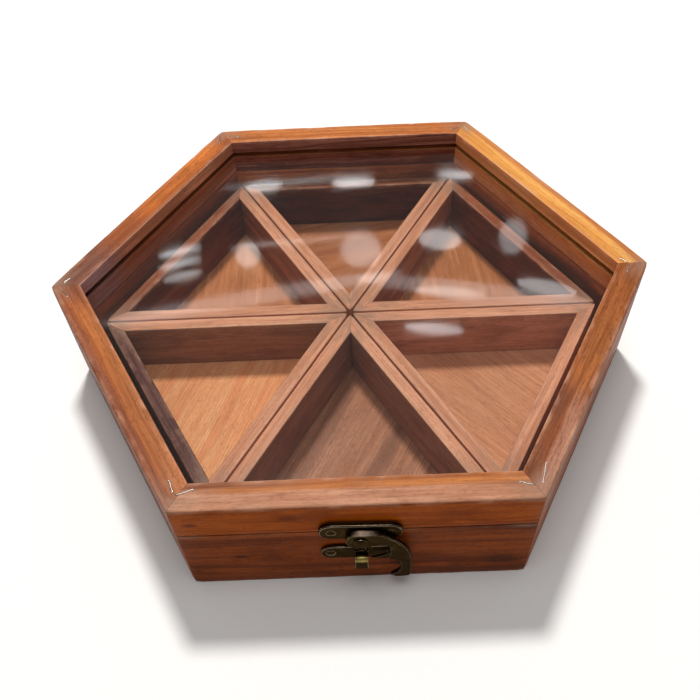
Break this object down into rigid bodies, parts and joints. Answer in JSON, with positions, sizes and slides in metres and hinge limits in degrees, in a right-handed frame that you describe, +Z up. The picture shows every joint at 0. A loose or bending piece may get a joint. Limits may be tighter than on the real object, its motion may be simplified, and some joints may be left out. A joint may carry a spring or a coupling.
{
  "type": "hexagonal spice box",
  "caption": "Hexagonal hardwood spice box with a hinged glass lid, a horn latch and triangular lift-out trays.",
  "frame": {"origin": "centre of the underside, on the surface the box stands on", "axes": "+X to the right along the corner-to-corner width, -Y out of the front face with the latch, +Z up"},
  "size_m": [0.2532, 0.2299, 0.056],
  "materials": {
    "sheesham": "hand-waxed sheesham, satin",
    "sheesham_pale": "sanded sheesham, lightly waxed",
    "glass": "clear float glass",
    "antique_bronze": "dark antique bronze, worn on edges",
    "steel": "bright drawn wire"
  },
  "bodies": {
    "base": {"base_wall_front": "sheesham", "base_wall_front_right": "sheesham", "base_wall_back_right": "sheesham", "base_wall_back": "sheesham", "base_wall_back_left": "sheesham", "base_wall_front_left": "sheesham", "base_floor": "sheesham_pale", "latch_catch_plate": "antique_bronze", "latch_catch_nail_left": "antique_bronze", "latch_catch_nail_right": "antique_bronze", "hinge_left_base_leaf": "antique_bronze", "hinge_left_pin": "steel", "hinge_left_base_screw_a": "antique_bronze", "hinge_left_base_screw_b": "antique_bronze", "hinge_right_base_leaf": "antique_bronze", "hinge_right_pin": "steel", "hinge_right_base_screw_a": "antique_bronze", "hinge_right_base_screw_b": "antique_bronze"},
    "lid": {"lid_rail_front": "sheesham", "lid_rail_front_right": "sheesham", "lid_rail_back_right": "sheesham", "lid_rail_back": "sheesham", "lid_rail_back_left": "sheesham", "lid_rail_front_left": "sheesham", "lid_glass": "glass", "latch_upper_plate": "antique_bronze", "latch_rivet": "antique_bronze", "latch_upper_nail_left": "antique_bronze", "latch_upper_nail_right": "antique_bronze", "hinge_left_lid_leaf": "antique_bronze", "hinge_left_lid_screw_a": "antique_bronze", "hinge_left_lid_screw_b": "antique_bronze", "hinge_right_lid_leaf": "antique_bronze", "hinge_right_lid_screw_a": "antique_bronze", "hinge_right_lid_screw_b": "antique_bronze"},
    "latch_horn": {"latch_horn": "antique_bronze"},
    "tray_front": {"tray_front_outer": "sheesham_pale", "tray_front_divider_right": "sheesham_pale", "tray_front_divider_left": "sheesham_pale", "tray_front_floor": "sheesham_pale"},
    "tray_front_right": {"tray_front_right_outer": "sheesham_pale", "tray_front_right_divider_right": "sheesham_pale", "tray_front_right_divider_left": "sheesham_pale", "tray_front_right_floor": "sheesham_pale"},
    "tray_back_right": {"tray_back_right_outer": "sheesham_pale", "tray_back_right_divider_right": "sheesham_pale", "tray_back_right_divider_left": "sheesham_pale", "tray_back_right_floor": "sheesham_pale"},
    "tray_back": {"tray_back_outer": "sheesham_pale", "tray_back_divider_right": "sheesham_pale", "tray_back_divider_left": "sheesham_pale", "tray_back_floor": "sheesham_pale"},
    "tray_back_left": {"tray_back_left_outer": "sheesham_pale", "tray_back_left_divider_right": "sheesham_pale", "tray_back_left_divider_left": "sheesham_pale", "tray_back_left_floor": "sheesham_pale"},
    "tray_front_left": {"tray_front_left_outer": "sheesham_pale", "tray_front_left_divider_right": "sheesham_pale", "tray_front_left_divider_left": "sheesham_pale", "tray_front_left_floor": "sheesham_pale"}
  },
  "joints": [
    {"name": "lid_hinge", "type": "hinge", "parent": "base", "child": "lid", "pos_m": [0, 0.11228, 0.038], "axis": [-1, 0, 0], "range_deg": [0, 175]},
    {"name": "latch_swing", "type": "hinge", "parent": "lid", "child": "latch_horn", "pos_m": [0.0012, -0.11343, 0.038], "axis": [0, -1, 0], "range_deg": [-25, 180]},
    {"name": "tray_front_lift", "type": "slide", "parent": "base", "child": "tray_front", "axis": [0, 0, 1], "range_m": [0, 0.0145]},
    {"name": "tray_front_right_lift", "type": "slide", "parent": "base", "child": "tray_front_right", "axis": [0, 0, 1], "range_m": [0, 0.0145]},
    {"name": "tray_back_right_lift", "type": "slide", "parent": "base", "child": "tray_back_right", "axis": [0, 0, 1], "range_m": [0, 0.0145]},
    {"name": "tray_back_lift", "type": "slide", "parent": "base", "child": "tray_back", "axis": [0, 0, 1], "range_m": [0, 0.0145]},
    {"name": "tray_back_left_lift", "type": "slide", "parent": "base", "child": "tray_back_left", "axis": [0, 0, 1], "range_m": [0, 0.0145]},
    {"name": "tray_front_left_lift", "type": "slide", "parent": "base", "child": "tray_front_left", "axis": [0, 0, 1], "range_m": [0, 0.0145]}
  ]
}
